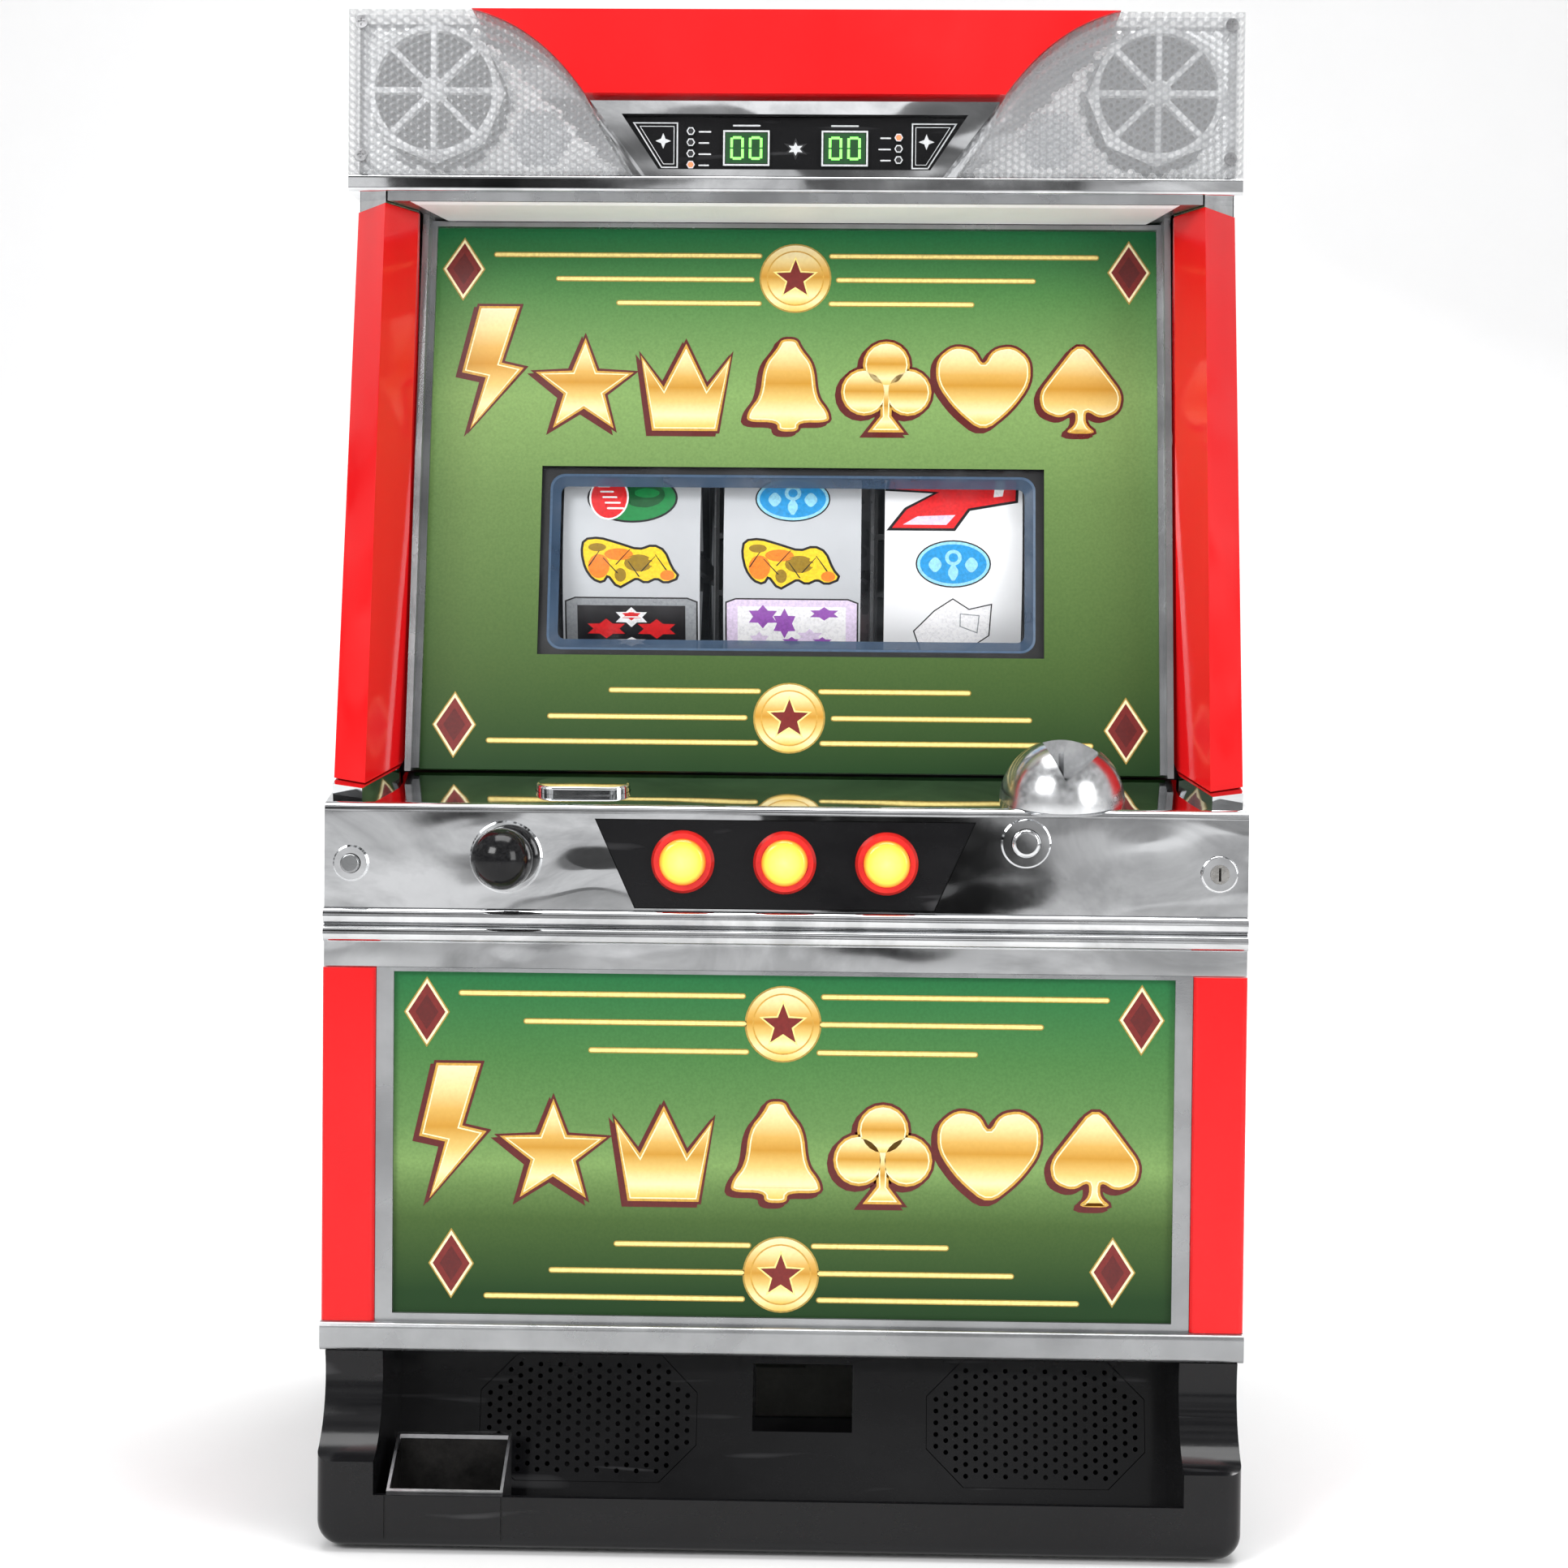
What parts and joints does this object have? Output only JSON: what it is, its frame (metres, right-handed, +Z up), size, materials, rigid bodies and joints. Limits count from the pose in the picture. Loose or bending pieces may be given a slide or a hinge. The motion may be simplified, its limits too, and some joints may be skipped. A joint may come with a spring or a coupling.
{
  "type": "pachislot machine",
  "caption": "Free-standing medal-operated reel game: wooden cabinet with reel unit and hopper behind a hinged door of lamps, printed panels, control desk and medal tray.",
  "frame": {"origin": "on the floor under the middle of the machine's outer box", "axes": "+X to the player's right, -Y towards the player, +Z up"},
  "size_m": [0.48, 0.45, 0.81],
  "materials": {
    "board": "dark laminate over particle board, satin",
    "zinc_steel": "zinc plated sheet, satin",
    "motor_steel": "dark plated steel",
    "board_case": "translucent case, gloss",
    "power_steel": "grey powder coat",
    "hopper_plastic": "black moulding",
    "tank_plastic": "grey moulding",
    "reel_plastic": "white moulding",
    "strip_print": "printed film, satin",
    "frame_plastic": "black moulding",
    "chrome": "bright plating",
    "silver": "silver paint, satin",
    "clear": "clear textured moulding",
    "red_lens": "translucent red, gloss",
    "black_gloss": "black, gloss",
    "digits": "lit green digits and lamps",
    "printed_panel": "back-printed sheet, gloss",
    "button_yellow": "translucent, lit",
    "button_red": "translucent, lit",
    "speaker_black": "paper cone and steel basket",
    "screw_steel": "plated",
    "rocker": "red, lit",
    "brass": "plated key core"
  },
  "bodies": {
    "root": {"cabinet_left_side": "board", "cabinet_right_side": "board", "cabinet_top": "board", "cabinet_bottom": "board", "cabinet_back": "board", "cabinet_hinges": "zinc_steel", "lock_keepers": "zinc_steel", "reel_frame": "zinc_steel", "reel_motors": "motor_steel", "reel_lamps": "reel_plastic", "main_board_case": "board_case", "power_supply": "power_steel", "hopper_base": "hopper_plastic", "hopper_tank": "tank_plastic", "overflow_tank": "tank_plastic"},
    "reel_left": {"reel_left_drum": "reel_plastic", "reel_left_strip": "strip_print"},
    "reel_center": {"reel_center_drum": "reel_plastic", "reel_center_strip": "strip_print"},
    "reel_right": {"reel_right_drum": "reel_plastic", "reel_right_strip": "strip_print"},
    "hopper_disc": {"hopper_disc": "hopper_plastic"},
    "power_switch": {"power_switch": "rocker"},
    "door": {"door_frame": "frame_plastic", "door_hinge_plates": "zinc_steel", "top_housing": "chrome", "top_lens": "red_lens", "speaker_covers": "clear", "speaker_diffusers": "clear", "speakers": "speaker_black", "display_panel": "black_gloss", "display_indicators": "digits", "side_lenses": "red_lens", "upper_bezel": "silver", "reel_panel": "printed_panel", "window_bezel": "black_gloss", "control_housing": "chrome", "stop_panel": "black_gloss", "stop_button_rings": "button_red", "control_bezels": "chrome", "medal_slot": "chrome", "lock_cylinder": "chrome", "lower_frame": "silver", "lower_panel": "printed_panel", "lower_lenses": "red_lens", "tray": "black_gloss", "tray_grilles": "black_gloss", "medal_selector": "hopper_plastic", "door_screws": "screw_steel"},
    "stop_left": {"stop_button_left": "button_yellow"},
    "stop_center": {"stop_button_center": "button_yellow"},
    "stop_right": {"stop_button_right": "button_yellow"},
    "start_lever": {"start_lever_shaft": "chrome", "start_lever_knob": "black_gloss"},
    "return_button": {"return_button": "chrome"},
    "settle_button": {"settle_button": "silver"},
    "max_bet": {"max_bet_button": "chrome"},
    "lock_core": {"lock_core": "brass"},
    "lock_bar": {"lock_bar": "zinc_steel"},
    "ashtray": {"ashtray": "chrome"}
  },
  "joints": [
    {"name": "door_hinge", "type": "hinge", "parent": "root", "child": "door", "pos_m": [-0.233, -0.068, 0.4], "axis": [0, 0, -1], "range_deg": [0, 110]},
    {"name": "reel_left_spin", "type": "hinge", "parent": "root", "child": "reel_left", "pos_m": [-0.089, 0.0314, 0.515], "axis": [1, 0, 0], "continuous": true},
    {"name": "reel_center_spin", "type": "hinge", "parent": "root", "child": "reel_center", "pos_m": [0, 0.0314, 0.515], "axis": [1, 0, 0], "continuous": true},
    {"name": "reel_right_spin", "type": "hinge", "parent": "root", "child": "reel_right", "pos_m": [0.089, 0.0314, 0.515], "axis": [1, 0, 0], "continuous": true},
    {"name": "hopper_disc_spin", "type": "hinge", "parent": "root", "child": "hopper_disc", "pos_m": [-0.006, 0.096, 0.06], "axis": [0, 0, 1], "continuous": true},
    {"name": "power_switch_rock", "type": "hinge", "parent": "root", "child": "power_switch", "pos_m": [-0.158, 0.042, 0.146], "axis": [1, 0, 0], "range_deg": [-8, 8], "stiffness_Nm_per_rad": 0.2},
    {"name": "stop_left_press", "type": "slide", "parent": "door", "child": "stop_left", "axis": [0, 1, 0], "range_m": [0, 0.003], "stiffness_N_per_m": 150},
    {"name": "stop_center_press", "type": "slide", "parent": "door", "child": "stop_center", "axis": [0, 1, 0], "range_m": [0, 0.003], "stiffness_N_per_m": 150},
    {"name": "stop_right_press", "type": "slide", "parent": "door", "child": "stop_right", "axis": [0, 1, 0], "range_m": [0, 0.003], "stiffness_N_per_m": 150},
    {"name": "start_lever_tilt", "type": "hinge", "parent": "door", "child": "start_lever", "pos_m": [-0.145, -0.165, 0.356], "axis": [1, 0, 0], "range_deg": [-8, 8], "stiffness_Nm_per_rad": 0.5},
    {"name": "return_press", "type": "slide", "parent": "door", "child": "return_button", "axis": [0, 1, 0], "range_m": [0, 0.003], "stiffness_N_per_m": 150},
    {"name": "settle_press", "type": "slide", "parent": "door", "child": "settle_button", "axis": [0, 1, 0], "range_m": [0, 0.003], "stiffness_N_per_m": 150},
    {"name": "max_bet_press", "type": "slide", "parent": "door", "child": "max_bet", "axis": [0, 0.2334, -0.9724], "range_m": [0, 0.003], "stiffness_N_per_m": 150},
    {"name": "key_turn", "type": "hinge", "parent": "door", "child": "lock_core", "pos_m": [0.225, -0.19, 0.351], "axis": [0, 1, 0], "range_deg": [0, 90]},
    {"name": "lock_bar_slide", "type": "slide", "parent": "door", "child": "lock_bar", "axis": [0, 0, -1], "range_m": [0, 0.012]},
    {"name": "ashtray_lift", "type": "slide", "parent": "door", "child": "ashtray", "axis": [0, 0, 1], "range_m": [0, 0.04]}
  ],
  "couplings": [
    {"joint": "key_turn", "follows": "lock_bar_slide", "rad_per_m": 130.89}
  ]
}
